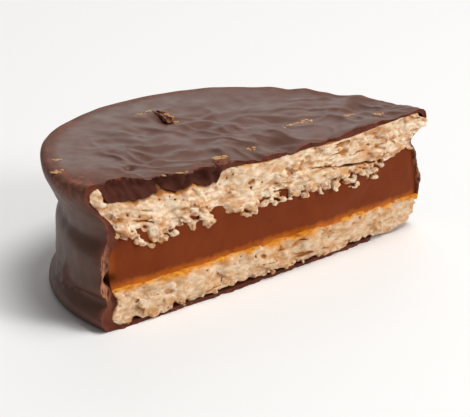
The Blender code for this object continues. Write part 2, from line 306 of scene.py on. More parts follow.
def tidy_mesh(mesh, sharp_above):
    """Welds points that lie together, turns faces outwards, and marks edges above this angle."""
    weld = bmesh.new()
    weld.from_mesh(mesh)
    bmesh.ops.remove_doubles(weld, verts=weld.verts, dist=2e-6)
    bmesh.ops.dissolve_degenerate(weld, edges=weld.edges, dist=2e-6)
    bmesh.ops.recalc_face_normals(weld, faces=weld.faces)
    weld.to_mesh(mesh)
    weld.free()
    mesh.shade_smooth()
    mesh.set_sharp_from_angle(angle=math.radians(sharp_above))


def add_piece(name, mesh, slot, *nodes):
    piece = bpy.data.objects.new(name, mesh)
    bpy.context.scene.collection.objects.link(piece)
    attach(piece, "root")
    if nodes:
        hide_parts(*nodes)
    return piece


# %% [markdown]
# ## The chocolate coating
# The biscuit goes through a curtain of molten chocolate, and a fan blows the surplus off. That
# leaves soft folds on the top, a thin rim, and a thick foot. Solidify on a disc would give the
# same skin everywhere, so the skin is laid out as a grid instead: rows run from the break over
# the top, down the side and under the base, and a second sheet follows inside. A narrow ring of
# faces joins both along the break, and that ring is the broken edge that one sees.

# %% The folds of the top
FOLD_WIDTH = 0.2  # a fold follows the line where its noise is zero, up to this value on each side


def folds(x, y):
    """Broad swells, two sets of soft folds that cross, fine ripples, and spokes to the rim."""
    turn, shift, layer = (0.9 * soft_noise(x / 15.0, y / 15.0, step, 1.0) for step in (0.0, 10.0, 20.0))
    broad = soft_noise(x / 4.6 + turn, y / 4.6 + shift, layer, 1.0)
    u, v = x + 5.0 * turn, y + 5.0 * shift
    first = soft_noise((0.8 * u + 0.6 * v) / 4.2, (0.6 * u - 0.8 * v) / 6.0, 4.0, 1.0)
    first = bump(first, 0.0, FOLD_WIDTH)
    second = bump(soft_noise((u - v) / 5.4, (u + v) / 4.6, 8.0, 1.0), 0.0, FOLD_WIDTH)
    second = second * mix(0.35, 1.0, smooth_step(16.0, 6.0, y))
    fine = soft_noise(u / 2.3, v / 2.3, 12.0, 1.0)
    angle, reach = np.arctan2(y, x), np.hypot(x, y)
    spoke = soft_noise(angle * 9.5, reach / 16.0, 16.0, 1.0)
    spoke = spoke * smooth_step(19.0, 29.0, reach) * mix(0.06, 0.6, smooth_step(1.2, 0.6, angle))
    inside = 1.0 - mix(0.94, 0.5, smooth_step(16.0, 25.0, x)) * smooth_step(20.5, 29.0, reach)
    swells = 0.7 * broad + 0.28 * first + 0.2 * second + 0.14 * fine - 0.13
    return swells * inside + spoke


def top_height(x, y):
    reach = np.hypot(x, y)
    rim_lift = 0.35 * smooth_step(26.0, 31.0, reach) * smooth_step(0.0, 16.0, x)
    dimple = 0.35 * bump(np.hypot(x + 20.1, y - 6.7), 0.0, 0.7)  # a burst bubble
    return HEIGHT + folds(x, y) + rim_lift - dimple


# %% [markdown]
# Where the break starts, on the left, a thick piece of chocolate broke with the biscuit and
# shows a dark, matt face of its own. Further right the skin over the biscuit is thin.

# %% The underside of the top
PATCH = (-29.6, -7.9)  # where the thick dark piece starts and ends along the break


def patch(x):
    return smooth_step(PATCH[0], PATCH[0] + 2.4, x) - smooth_step(PATCH[1] - 0.8, PATCH[1], x)


def under_top(x, y):
    """Thin skin along the break, thicker at the patch, and thicker again where it doesn't show."""
    skin = mix(0.75, 0.34, smooth_step(-9.0, -5.0, x)) + 0.13 * along(x, 1.7, 5) + 0.05 * along(x, 0.5, 8)
    thick = mix(1.75, 0.95, smooth_step(-24.0, -12.0, x)) + 0.5 * bump(x, -10.0, 1.6)
    drop = (thick + 0.5 * along(x, 2.3, 6) + 0.3 * along(x, 0.8, 7)) * patch(x)
    hidden = 0.8 * smooth_step(1.4, 3.6, behind(x, y))
    level = HEIGHT - skin - hidden - drop * np.exp(-((behind(x, y) / 1.6) ** 2))
    return np.minimum(level, top_height(x, y) - 0.2)


# %% Rows of the outer sheet and of the inner sheet
COLUMNS = 250
TOP_ROWS = 100
SIDE_ROWS = 64
BASE_ROWS = 12
EDGE_ROWS = 6
columns = np.linspace(0.0, 1.0, COLUMNS + 1)


def sheet_rows(radius, top, base, top_shares, base_shares, heights):
    """One sheet as an array of rows: over the top, down the side, and under the base."""
    rows = []
    front, back = plan_row(columns, heights[0], radius)
    for share in top_shares:
        place = mix(front, back, share)
        rows.append(np.column_stack([place, top(place[:, 0], place[:, 1])]))
    raised = rows[-1][:, 2] - heights[0]
    for height in heights[1:-1]:
        place = plan_row(columns, height, radius)[1]
        rows.append(np.column_stack([place, height + raised * smooth_step(15.0, HEIGHT, height)]))
    front, back = plan_row(columns, heights[-1], radius)
    for share in base_shares:
        place = mix(front, back, share)
        rows.append(np.column_stack([place, base(place[:, 0], place[:, 1])]))
    return np.array(rows)


side_shares = np.linspace(0.0, 1.0, SIDE_ROWS + 1)
side_shares = mix(side_shares, smooth_step(0.0, 1.0, side_shares), 0.6)
outer_heights = HEIGHT * (1.0 - side_shares)
inner_heights = mix(HEIGHT - TOP_SKIN, BASE_SKIN, side_shares)
inner_shares = (0.0, 0.02, 0.05, 0.09, 0.15, 0.3, 0.65, 1.0)


def flat(height):
    return lambda x, y: height + 0.0 * x


outer = sheet_rows(
    outer_radius,
    top_height,
    flat(0.0),
    np.linspace(0.0, 1.0, TOP_ROWS + 1) ** 1.2,
    np.linspace(1.0, 0.0, BASE_ROWS + 1),
    outer_heights,
)
inner = sheet_rows(
    inner_radius, under_top, flat(BASE_SKIN), inner_shares, inner_shares[::-1], inner_heights
)
print("outer sheet", outer.shape, "inner sheet", inner.shape)

# %% [markdown]
# The side has marks of its own: on the left the waist ends in a sharp step above the foot, and
# one drip ran down over that step. They are pushed out of the side along its radius.

# %% Marks on the side
def side_marks(points):
    angle = np.degrees(np.arctan2(points[:, 1], points[:, 0])) % 360.0
    x, y, z = points.T
    drip = 0.6 * bump(angle, 158.6, 1.0) * smooth_step(2.6, 3.4, z) * smooth_step(7.5, 5.0, z)
    step_height = mix(3.0, 4.8, smooth_step(150.0, 179.0, angle)) + 0.25 * along(angle, 9.0, 13)
    step = 0.42 * smooth_step(-0.15, 0.15, z - step_height) * smooth_step(3.0, 0.3, z - step_height)
    soft = 0.12 * soft_noise(x, y, z * 0.6, 4.0) * smooth_step(0.0, 2.0, z) * smooth_step(17.0, 14.0, z)
    return drip + step * smooth_step(100.0, 130.0, angle) + soft


flat_outer = outer.reshape(-1, 3)
on_side = np.zeros(outer.shape[:2])
on_side[TOP_ROWS + 1 : TOP_ROWS + SIDE_ROWS] = 1.0
push = side_marks(flat_outer) * on_side.reshape(-1)
outward = flat_outer[:, :2] / np.hypot(flat_outer[:, 0], flat_outer[:, 1])[:, None]
flat_outer[:, :2] += outward * push[:, None]
outer = flat_outer.reshape(outer.shape)

# %% Join the sheets along the break
def border(sheet, top_rows, base_rows):
    """The sheet's points round the break: along the top, down the right, back, and up the left."""
    last_top = top_rows - 1
    first_base = len(sheet) - base_rows
    right = sheet[last_top + 1 : first_base, -1]
    left = sheet[last_top + 1 : first_base, 0][::-1]
    return np.concatenate([sheet[0], right, sheet[-1][::-1], left])


def grid_faces(rows, count, first=0, closed=False):
    faces = []
    for row in range(rows - 1):
        for step in range(count if closed else count - 1):
            after = (step + 1) % count
            a, b = first + row * count + step, first + row * count + after
            faces.append((a, a + count, b + count, b))
    return faces


outer_line = border(outer, TOP_ROWS + 1, BASE_ROWS + 1)
inner_line = border(inner, len(inner_shares), len(inner_shares))
ring = np.array([mix(outer_line, inner_line, row / EDGE_ROWS) for row in range(EDGE_ROWS + 1)])
sheets = [sheet.reshape(-1, 3) for sheet in (outer, inner, ring)]
points = np.concatenate(sheets)
starts = np.cumsum([0] + [len(sheet) for sheet in sheets])
faces = grid_faces(*outer.shape[:2])
faces += grid_faces(*inner.shape[:2], starts[1])
faces += grid_faces(*ring.shape[:2], starts[2], closed=True)

# %% [markdown]
# Broken chocolate is rough where it tore and dented where a crumb pulled it. All the points
# near the break are moved by noise, so the outer sheet, the inner sheet and the ring between
# them stay together. At the lower right the coating has come away from the corner. What the
# material has to know of each point, such as how worn it is, is worked out here too.

# %% Roughen the broken edge
ring_share = np.repeat(np.arange(EDGE_ROWS + 1) / EDGE_ROWS, ring.shape[1])
between = np.concatenate([np.zeros(starts[2]), np.sin(math.pi * ring_share)])
x, y, z = points.T
distance = np.maximum(y - break_line(x, z), 0.0)
near = np.exp(-distance / 0.7)
on_patch = patch(x) * smooth_step(15.0, 16.5, z)
jag = mix(0.26, 0.55, on_patch) * crumble(points, 1.7, 11)
jag = jag + mix(0.1, 0.2, on_patch) * lumps(points, 0.6, 21)
facets = cells(points, 1.6, 25)[0]
hollow = 1.9 * bump(np.hypot(x + 28.7, z - 6.8), 0.0, 0.7)  # the small hole at the left
shift = (jag + hollow) * near + between * (mix(0.3, 0.75, on_patch) * facets.clip(0, 1.2) - 0.1)
lean = 1.1 * bump(x, -25.0, 2.5) + 0.5 * bump(x, -19.0, 2.0) + 0.3 * bump(x, -11.0, 1.5)
shift = shift + lean * smooth_step(16.9, 18.3, z) * np.exp(-distance / 1.8)  # bites in the patch's edge
bare = smooth_step(21.5, 26.0, x) * smooth_step(4.6, 3.2, z)
shift = shift + 2.4 * bare * np.exp(-distance / 2.8)
rim = bump(z, HEIGHT - 0.4, 1.1) * smooth_step(29.0, 31.0, np.hypot(x, y))
left_corner = smooth_step(-20.0, -29.0, x) * smooth_step(12.0, 3.0, distance) * smooth_step(15.0, 18.0, z)
broken = np.concatenate([np.zeros(starts[1]), np.ones(len(points) - starts[1])])
torn = broken * smooth_step(-28.0, -29.5, x) * smooth_step(2.0, 5.0, z) * smooth_step(16.0, 13.0, z)
notch = smooth_step(27.0, 29.0, x) * smooth_step(5.0, 7.0, z) * smooth_step(17.5, 15.5, z) * near
points[:, 1] += shift

# %% The coating piece
coating_mesh = make_mesh("chocolate_coating_skin", points, faces)
store(coating_mesh, "worn", np.clip(np.maximum(0.9 * near, rim) + left_corner + notch, 0.0, 1.3))
store(coating_mesh, "broken", broken)
store(coating_mesh, "thick", broken * on_patch)
store(coating_mesh, "torn", np.clip(torn + notch, 0.0, 1.0))
tidy_mesh(coating_mesh, sharp_above=48)
coating = add_piece("coating_skin", coating_mesh, "chocolate", "chocolate_coating")
print("coating:", len(coating_mesh.polygons), "faces")

# %% [markdown]
# ## The biscuits
# A baked biscuit breaks into crumbs: rounded lumps from a few tenths of a millimetre to a
# millimetre across, with pores and cracks between them and flakes that overhang. A displaced
# sheet can't overhang, so the broken biscuit is made as a solid field. Each place in a box of
# fine cells gets a number, below zero inside the biscuit and above zero outside. Lumps, pores
# and cracks are simple sums on those numbers. A surface net then puts one point in each cell
# that the surface crosses, and joins them.

# %% Wrap a surface round a field
def surface_net(field):
    """Points in cell units, and faces, where the field passes through zero."""
    inside = field < 0.0
    shape = np.array(field.shape) - 1
    total = np.zeros(tuple(shape) + (3,))
    crossings = np.zeros(tuple(shape))
    offsets = [(0, 0, 0), (0, 0, 1), (0, 1, 0), (0, 1, 1), (1, 0, 0), (1, 0, 1), (1, 1, 0), (1, 1, 1)]

    def at(values, offset):
        return values[tuple(slice(o, o + n) for o, n in zip(offset, shape))]

    for a in offsets:
        for axis in range(3):
            if a[axis]:
                continue
            b = tuple(o + (step == axis) for step, o in enumerate(a))
            start, end = at(field, a), at(field, b)
            crossed = at(inside, a) != at(inside, b)
            share = np.where(crossed, start / np.where(crossed, start - end, 1.0), 0.0)
            for step in range(3):
                place = a[step] + (share if step == axis else 0.0)
                total[..., step] += np.where(crossed, place, 0.0)
            crossings += crossed
    used = crossings > 0
    number = np.full(tuple(shape), -1, dtype=np.int64)
    number[used] = np.arange(used.sum())
    points = np.argwhere(used) + total[used] / crossings[used][:, None]
    faces = []
    for axis in range(3):
        u, v = (axis + 1) % 3, (axis + 2) % 3
        low = [slice(1, -1)] * 3
        low[axis] = slice(0, -1)
        high = list(low)
        high[axis] = slice(1, None)
        first, second = inside[tuple(low)], inside[tuple(high)]
        edges = np.argwhere(first != second)
        edges[:, u] += 1
        edges[:, v] += 1
        outwards = first[first != second]
        around = []
        for du, dv in ((-1, -1), (0, -1), (0, 0), (-1, 0)):
            cell = edges.copy()
            cell[:, u] += du
            cell[:, v] += dv
            around.append(number[tuple(cell.T)])
        quads = np.stack(around, axis=-1)
        quads[~outwards] = quads[~outwards][:, ::-1]
        faces.append(quads)
    return points, np.concatenate(faces)


# %% Keep one body
def main_body(points, faces):
    """Leaves out specks that float free of the biscuit, and closed bubbles inside it."""
    label = np.arange(len(points))
    while True:
        lowest = label.copy()
        np.minimum.at(lowest, faces.ravel(), np.repeat(label[faces].min(axis=1), 4))
        lowest = lowest[lowest]
        if (lowest == label).all():
            break
        label = lowest
    kept = label == np.bincount(label).argmax()
    number = np.cumsum(kept) - 1
    return points[kept], number[faces[kept[faces[:, 0]]]]


# %% The chocolate's inner wall, on a table
table_angles = np.linspace(-0.12, math.pi + 0.12, 121)
table_heights = np.linspace(BASE_SKIN, HEIGHT - TOP_SKIN, 45)
wall_table = np.array([inner_radius(table_angles, height) for height in table_heights])


def wall_radius(x, y, z):
    """The inner radius, read from the table, because the fields ask for it very often."""
    angle = np.arctan2(y, x)
    angle = np.where(angle < -1.6, angle + 2.0 * math.pi, angle)
    across = np.clip((angle - table_angles[0]) / (table_angles[1] - table_angles[0]), 0, 119.999)
    up = np.clip((z - table_heights[0]) / (table_heights[1] - table_heights[0]), 0, 43.999)
    i, j = across.astype(int), up.astype(int)
    low = mix(wall_table[j, i], wall_table[j, i + 1], across - i)
    high = mix(wall_table[j + 1, i], wall_table[j + 1, i + 1], across - i)
    return mix(low, high, up - j)


# %% [markdown]
# The field has fine cells only in the first two millimetres behind the break, where the crumb
# shows. Behind that the cells grow, because chocolate and caramel hide the rest.

# %% The cells of the field
STEP = 0.17  # size of a cell in mm
FRONT = np.arange(-0.95, 2.3, 0.155)  # distances behind the break
REAR = FRONT[-1] + np.cumsum([0.4, 0.55, 0.8, 1.1, 1.5, 2.0, 2.6, 3.2, 3.6, 4.0, 4.0, 4.0, 4.0])
print(len(FRONT), "fine layers of cells and", len(REAR), "coarse ones")

# %% [markdown]
# The relief of the broken face is a sum: a broad swell, then crumbs of two sizes, each with a
# height of its own, then finer lumps on them. Some areas are coarser than others. The dough was
# rolled, so crumbs, cracks and splits all lie a little along the layers.

# %% The relief of the crumb
FLAKY = np.array([0.66, 1.0, 1.35])  # stretches the crumbs along the layers


def swell(points, seed):
    """The broad rise and fall of the broken face. The depth of the pits is measured from it."""
    return 0.58 * crumble(points, 2.9, seed)


def crumb_relief(near, smooth_above, seed):
    """How far each crumb lies back, in mm, or stands out where it is below zero."""
    flakes = near * FLAKY
    big, tone = cells(flakes + 0.3 * near[..., ::-1], 1.15, seed + 20)
    small, small_tone = cells(flakes, 0.55, seed + 30)
    crumb = 0.3 * (tone - 0.5) + 0.3 * (big - 0.6) + 0.16 * (small_tone - 0.5) + 0.3 * (small - 0.3)
    crumb = crumb + 0.2 * crumble(flakes, 0.9, seed + 40)
    coarse = smooth_step(-0.4, 0.4, lumps(near, 3.0, seed + 95))
    return crumb * smooth_above(near[..., 2]) * mix(0.5, 1.2, coarse)


# %% Pores, cracks and splits
def pores_and_cracks(near, depth, seed):
    """Above zero inside round pores of two sizes, and inside thin cracks along the layers."""
    pores, size = cells(near, 1.35, seed + 50)
    pinholes, pin_size = cells(near, 0.8, seed + 60)
    holes = np.maximum(0.03 + 0.4 * size**4 - pores, 0.02 + 0.2 * pin_size**4 - pinholes)
    layered = np.abs(lumps(near, np.array([5.0, 3.0, 0.95]), seed + 70))
    where_cracked = 0.13 * smooth_step(0.1, 0.7, lumps(near, 3.6, seed + 80))
    return np.maximum(holes, where_cracked - layered - 0.25 * depth)


def cut_splits(solid, near, depth, splits, seed):
    """Opens long splits. Each is widest in its middle and closes towards the inside."""
    wiggle = 0.22 * lumps(near, 1.3, seed + 90) + 0.1 * lumps(near, 0.5, seed + 91)
    for from_x, from_z, to_x, to_z, width in splits:
        share = np.clip((near[..., 0] - from_x) / (to_x - from_x), 0.0, 1.0)
        over = near[..., 2] + wiggle - mix(from_z, to_z, share)
        away = np.hypot(near[..., 0] - mix(from_x, to_x, share), over)
        solid = np.maximum(solid, width * np.sin(math.pi * share) ** 0.5 - away - 0.12 * depth)
    return solid


# %% Loose crumbs
def add_crumbs(solid, crumb, axes, places, crumbs):
    """Joins flattened balls to the solid, each with the same relief as the face."""
    for at_x, at_d, at_z, reach, rise in crumbs:
        middle, halves = (at_x, at_d, at_z), (reach, reach, rise)
        margin = 1.6 * reach
        cut = tuple(
            slice(*np.searchsorted(axis, (at - margin - 0.3, at + margin + 0.3)))
            for axis, at in zip(axes, middle)
        )
        gap = [(place[cut] - at) / half for place, at, half in zip(places, middle, halves)]
        ball = (np.sqrt(gap[0] ** 2 + gap[1] ** 2 + gap[2] ** 2) - 1.0) * min(reach, rise)
        solid[cut] = np.minimum(solid[cut], ball + 1.1 * crumb[cut])


# %% [markdown]
# A whole biscuit is what lies inside the chocolate's inner wall, below its top and above its
# base. In the front cells the relief moves that surface and the break, the pores, cracks and
# splits are taken out, and the loose crumbs are joined on. The outermost cells are set to
# outside, so the surface closes.

# %% One biscuit from its two levels and its loose crumbs
CRUMB_SHARP = 38


def biscuit(name, low, high, top, base, crumbs, splits, seed, node, smooth_above):
    axes = [np.arange(-31.6, 32.4, STEP), np.concatenate([FRONT, REAR]), np.arange(low, high, STEP * 0.92)]
    x, d, z = np.meshgrid(*axes, indexing="ij")
    y = break_line(x, z) + d
    x_plan, d_plan = x[..., 0], d[..., 0]
    y_plan = break_line(x_plan, HEIGHT) + d_plan
    bare_corner = smooth_step(21.0, 25.0, x) * smooth_step(4.4, 3.4, z) * smooth_step(3.0, 1.6, d)
    shell = np.hypot(x, y) - wall_radius(x, y, z) - 0.1
    shell = shell - 0.9 * bare_corner + 0.4 * smooth_step(2.5, 5.0, d)
    above = z - top(x_plan, d_plan, y_plan)[..., None]
    below = base(x_plan, d_plan)[..., None] - z
    field = np.maximum(shell, np.maximum(above, below))
    field = field - 0.22 * smooth_step(27.0, 29.5, x) * smooth_step(15.0, 17.0, z)

    face = len(FRONT)
    near = np.stack([x, y, z], axis=-1)[:, :face]
    places = [grid[:, :face] for grid in (x, d, z)]
    depth = np.maximum(places[1], 0.0)
    crumb = crumb_relief(near, smooth_above, seed)
    front = crumb - places[1] - swell(near, seed) - 0.05
    solid = np.maximum(field[:, :face] + 0.6 * (crumb + 0.1) * np.exp(-depth / 0.8), front)
    solid = np.maximum(solid, pores_and_cracks(near, depth, seed))
    solid = cut_splits(solid, near, depth, splits, seed)
    add_crumbs(solid, crumb, (axes[0], FRONT, axes[2]), places, crumbs)
    field[:, :face] = solid
    for axis in range(3):
        edge = [slice(None)] * 3
        for end in (0, -1):
            edge[axis] = end
            field[tuple(edge)] = 1.0

    points, faces = main_body(*surface_net(field))
    grid = [np.interp(points[:, i], np.arange(len(axis)), axis) for i, axis in enumerate(axes)]
    placed = np.column_stack([grid[0], break_line(grid[0], grid[2]) + grid[1], grid[2]])
    placed[:, 1] = np.maximum(placed[:, 1], -0.62 + 0.03 * lumps(placed, 0.5, 3))
    mesh = make_mesh(name, placed, faces.tolist())
    sunk = grid[1] + swell(placed, seed)
    print("depth of the pits in mm:", np.percentile(sunk[grid[1] < 1.5], (5, 25, 50, 75, 95)).round(2))
    store(mesh, "sunk", sunk)
    store(mesh, "level", placed[:, 2])
    # a band along each biscuit's lower edge on the break, which the material darkens: partly a real smear
    # of what lies under it, partly painted shade under the ragged crumbs
    lower_edge = base(grid[0], 0.0 * grid[1])
    store(mesh, "stained_and_shaded", bump(placed[:, 2], lower_edge, 0.75) * smooth_step(1.5, 0.5, grid[1]))
    store(mesh, "skin", top(placed[:, 0], grid[1], placed[:, 1]) - placed[:, 2])
    mesh.set_sharp_from_angle(angle=math.radians(CRUMB_SHARP))
    print(name, len(placed), "points", len(faces), "faces")
    return add_piece(name, mesh, "biscuit", node)


# %% [markdown]
# The upper biscuit's lower edge is ragged: crumbs and flakes hang down over the caramel, most of
# all where the break tore them. Each cluster is a handful of small crumbs scattered round one
# place. The lower biscuit's top is nearly straight, because the caramel soaked into it and glued
# it together.

# %% Crumb clusters
LOWER_TOP = 5.35
UPPER_BASE = 12.1


def right_rise(x):
    """On the right the caramel was pressed higher, and the upper biscuit is thin there."""
    return 2.5 * smooth_step(21.5, 30.0, x)


def hanging_edge(x):
    """The height of the upper biscuit's ragged lower edge, on the face of the break."""
    ragged = 0.5 * along(x, 2.2, 71) + 0.3 * along(x, 0.8, 72) + 0.15 * along(x, 0.35, 73)
    drop = 0.9 * bump(x, -21.5, 3.6) + 0.9 * bump(x, -9.6, 1.8) + 0.9 * bump(x, -2.2, 1.6)
    drop = drop - 0.9 * bump(x, 3.4, 2.2) - 0.5 * bump(x, -13.8, 1.6) - 1.0 * bump(x, 19.5, 3.5)
    return UPPER_BASE - 0.3 - drop + ragged + 4.0 * smooth_step(23.5, 31.0, -x) + right_rise(x)


def cluster(count, x, z, spread, rise, size, depth=(-0.15, 0.4)):
    """Crumbs as (x, distance behind the break, z, half width, half height)."""
    found = []
    for _ in range(count):
        reach = size * rng.uniform(0.6, 1.25)
        place = (rng.gauss(x, spread), rng.uniform(*depth), z + rng.uniform(0.0, rise))
        found.append((*place, reach, reach * rng.uniform(0.6, 1.0)))
    return found


HANGING = (  # count, x, z, spread, rise and size of each cluster under the upper biscuit
    *((12, -2.4, 10.7, 0.7, 1.5, 0.55), (5, -0.6, 11.5, 0.5, 0.8, 0.5), (8, 17.0, 10.0, 0.45, 2.0, 0.48)),
    *((7, 20.8, 10.5, 0.8, 1.6, 0.48), (16, 12.5, 11.3, 2.4, 0.9, 0.55), (12, 19.0, 11.9, 2.2, 0.8, 0.5)),
    *((14, -19.5, 10.7, 2.6, 0.9, 0.6), (8, -9.5, 10.8, 1.4, 0.7, 0.55), (10, 5.0, 11.2, 2.2, 0.7, 0.48)),
    *((12, -14.5, 11.2, 2.5, 0.8, 0.5), (7, -25.2, 11.9, 1.0, 1.0, 0.5)),
)
LOOSE = (  # the same at the foot of the lower biscuit, and how deep each cluster lies
    *((14, -21.8, 0.8, 1.5, 1.9, 0.72, (-0.6, 0.0)), (5, -18.6, 0.8, 0.5, 1.0, 0.4)),
    *((16, 9.0, 0.6, 5.0, 0.8, 0.34), (8, -5.0, 0.7, 4.0, 0.7, 0.48)),
    (12, 26.5, 1.6, 1.9, 2.0, 0.5, (0.0, 0.8)),
)
rng = random.Random(12)
upper_crumbs = [crumb for place in HANGING for crumb in cluster(*place)]
for _ in range(30):
    x = rng.uniform(-26.0, 24.0)
    upper_crumbs += cluster(1, x, float(hanging_edge(x)) - 0.35 - 0.5 * rng.random(), 0.1, 0.3, 0.42)
lower_crumbs = [crumb for place in LOOSE for crumb in cluster(*place)]
print(len(upper_crumbs), "crumbs on the upper biscuit,", len(lower_crumbs), "on the lower one")

# %% Both biscuits
SPLITS = (  # cracks along the layers of the upper biscuit: x and z of both ends, and half width
    (13.0, 14.3, 22.4, 13.1, 0.24),
    (8.0, 15.3, 13.5, 15.0, 0.13),
    (16.0, 15.6, 20.5, 15.3, 0.12),
    (1.4, 13.3, 5.0, 12.6, 0.26),
    (-15.4, 12.4, -12.0, 12.0, 0.22),
    (-24.5, 13.6, -20.0, 13.2, 0.12),
)


def upper_top(x, d, y):
    """Just inside the chocolate, and sloped away under the thick patch."""
    sloped = 0.6 * patch(x) * np.exp(-np.maximum(d, 0.0) / 0.8)
    return np.minimum(under_top(x, y) + 0.12 - sloped, top_height(x, y) - 0.16)


def upper_base(x, d):
    return mix(UPPER_BASE - 0.1 + right_rise(x), hanging_edge(x), smooth_step(0.8, 0.3, d))


def lower_top(x, d, y):
    return LOWER_TOP + 0.16 * along(x, 2.4, 81) + 0.1 * along(x, 0.7, 82)


def soaked_smooth(z):
    """The share of the crumb that is left where the caramel soaked in and filled it."""
    return mix(0.8, 0.35, smooth_step(3.9, 4.9, z))


def lower_base(x, d):
    """Worn along the break, with a few notches."""
    worn = 0.55 + 0.35 * along(x, 3.1, 91) + 0.2 * along(x, 0.9, 92)
    worn = mix(worn, 0.2, smooth_step(22.0, 26.0, x))
    worn = worn + 1.1 * bump(x, -17.6, 0.9) + 0.7 * bump(x, -24.6, 0.7) + 0.5 * bump(x, 2.5, 1.4)
    return mix(BASE_SKIN - 0.1, worn, smooth_step(1.6, 0.4, d))


upper_plan = (8.8, 18.8, upper_top, upper_base, upper_crumbs, SPLITS, 100, "upper_biscuit", lambda z: 1.0)
lower_plan = (0.0, 6.1, lower_top, lower_base, lower_crumbs, (), 300, "lower_biscuit", soaked_smooth)
biscuit_upper = biscuit("upper_biscuit_crumb", *upper_plan)
biscuit_lower = biscuit("lower_biscuit_crumb", *lower_plan)

# %% [markdown]
# ## The caramel
# Milk caramel is a stiff paste. Pulled apart it leaves a smooth, slightly wavy face that bulges
# out a little between the biscuits. A plain grid with soft noise gives that, and the crumbs
# above it hide its upper edge.

# %% The caramel filling
FACE_ROWS = 34


def caramel_wall(angle, height):
    return inner_radius(angle, height) + 0.15


face_rows, back_rows = [], []
fade = smooth_step(0.0, 0.03, columns) * smooth_step(1.0, 0.97, columns)
for share in np.linspace(0.0, 1.0, FACE_ROWS + 1):
    top_level = UPPER_BASE + 0.9 + right_rise(mix(-RIM_RADIUS, RIM_RADIUS, columns))
    level = mix(LOWER_TOP - 0.5, top_level, share)
    front, back = plan_row(columns, level, caramel_wall)
    bulge = 0.14 * math.sin(math.pi * share) ** 0.6
    place = np.column_stack([front, level])
    wave = 0.14 * crumble(place, np.array([6.0, 6.0, 3.4]), 201, 2) + 0.03 * crumble(place, 0.9, 211, 2)
    hole = 0.9 * bump(np.hypot(front[:, 0] + 28.1, level - 6.7), 0.0, 0.6)
    front[:, 1] += 0.34 - (bulge + wave) * fade + hole
    face_rows.append(np.column_stack([front, level]))
    back_rows.append(np.column_stack([back, level]))
loop = np.array(face_rows + back_rows[::-1])
rows, count = loop.shape[:2]
caramel_faces = grid_faces(rows, count)
last = (rows - 1) * count
caramel_faces += [(last + step, step, step + 1, last + step + 1) for step in range(count - 1)]
for row in range(FACE_ROWS):
    for end in (0, count - 1):
        low, high = row * count + end, (row + 1) * count + end
        back_low, back_high = (rows - 1 - row) * count + end, (rows - 2 - row) * count + end
        caramel_faces.append((low, back_low, back_high, high))
caramel_points = loop.reshape(-1, 3)
caramel_mesh = make_mesh("caramel_filling_face", caramel_points, caramel_faces)
store(caramel_mesh, "level", caramel_points[:, 2])
store(caramel_mesh, "along", caramel_points[:, 0])
# the material paints the caramel dark inside the small hole at the left: painted shade
from_hole = np.hypot(caramel_points[:, 0] + 29.0, caramel_points[:, 2] - 6.7)
store(caramel_mesh, "hole", bump(from_hole, 0.0, 1.1))
tidy_mesh(caramel_mesh, sharp_above=50)
caramel = add_piece("caramel_face", caramel_mesh, "caramel", "caramel_filling")
print("caramel:", len(caramel_mesh.polygons), "faces")

# %% [markdown]
# ## Scraps and crumbs on the top
# A curled shaving of chocolate and one broken splinter stuck to the top while it set, and a few
# crumbs were pressed flat on it. A shaving is a thin strip rolled round its length, so it is
# made as part of a tube with a wall. The splinter and the crumbs are small lumps, worn by noise.

# %% Set small things on the top
def surface_point(x, y):
    return Vector((x, y, float(top_height(np.array([x]), np.array([y]))[0])))


def small_lump(place, half_sizes, turn, seed, rough=0.3, detail=2):
    """Points and faces of one worn lump, half sizes in mm, turned about Z."""
    shape = bmesh.new()
    bmesh.ops.create_icosphere(shape, subdivisions=detail, radius=1.0)
    spin = Matrix.Rotation(turn, 3, "Z")
    for vert in shape.verts:
        worn = 1.0 + rough * noise.noise(vert.co * 1.6 + Vector((seed, 0.0, 0.0)))
        worn += 0.5 * rough * noise.noise(vert.co * 4.0 + Vector((0.0, seed, 0.0)))
        vert.co = spin @ Vector([a * b for a, b in zip(vert.co * worn, half_sizes)]) + place
    points = [vert.co[:] for vert in shape.verts]
    faces = [tuple(vert.index for vert in face.verts) for face in shape.faces]
    shape.free()
    return points, faces


def joined(parts):
    points, faces = [], []
    for some_points, some_faces in parts:
        faces += [tuple(index + len(points) for index in face) for face in some_faces]
        points += some_points
    return points, faces


# %% The curled shaving
def shaving(middle, length, radius, wall, turn):
    """A strip rolled round its length, open upwards, narrower and more open at its ends."""
    lines = []
    for step in range(23):
        share = step / 22
        fullness = math.sin(math.pi * share) ** 0.55
        rounds = []
        for side, reach in ((1, radius), (-1, radius - wall)):
            for slot in range(13)[::side]:
                angle = math.radians(mix(-200.0, -5.0 + 30.0 * share, slot / 12))
                size = reach * mix(0.55, 1.0, fullness) * mix(1.15, 0.8, share)
                ragged = 0.22 * noise.noise(Vector((share * 7.0, slot * 0.5, side)))
                across = math.cos(angle) * (size + ragged)
                rounds.append(Vector((across, 0.0, math.sin(angle) * size * 0.75)))
        bow = Vector((0.5 * math.sin(math.pi * share), (share - 0.5) * length, 0.0))
        lines.append([bow + place for place in rounds])
    spin = Matrix.Rotation(turn, 3, "Z")
    ground = surface_point(*middle) + Vector((0.0, 0.0, radius * 0.45))
    points = [(spin @ place + ground)[:] for line in lines for place in line]
    count = len(lines[0])
    faces = grid_faces(len(lines), count, closed=True)
    faces += [tuple(range(count)), tuple(range(len(points) - count, len(points)))[::-1]]
    return points, faces


curl_mesh = make_mesh("curled_shaving", *shaving((-1.0, 21.4), 4.6, 0.85, 0.26, math.radians(-13)))
tidy_mesh(curl_mesh, sharp_above=40)
store(curl_mesh, "worn", 1.2)
store(curl_mesh, "torn", 1.0)
curl = add_piece("curled_shaving", curl_mesh, "chocolate")

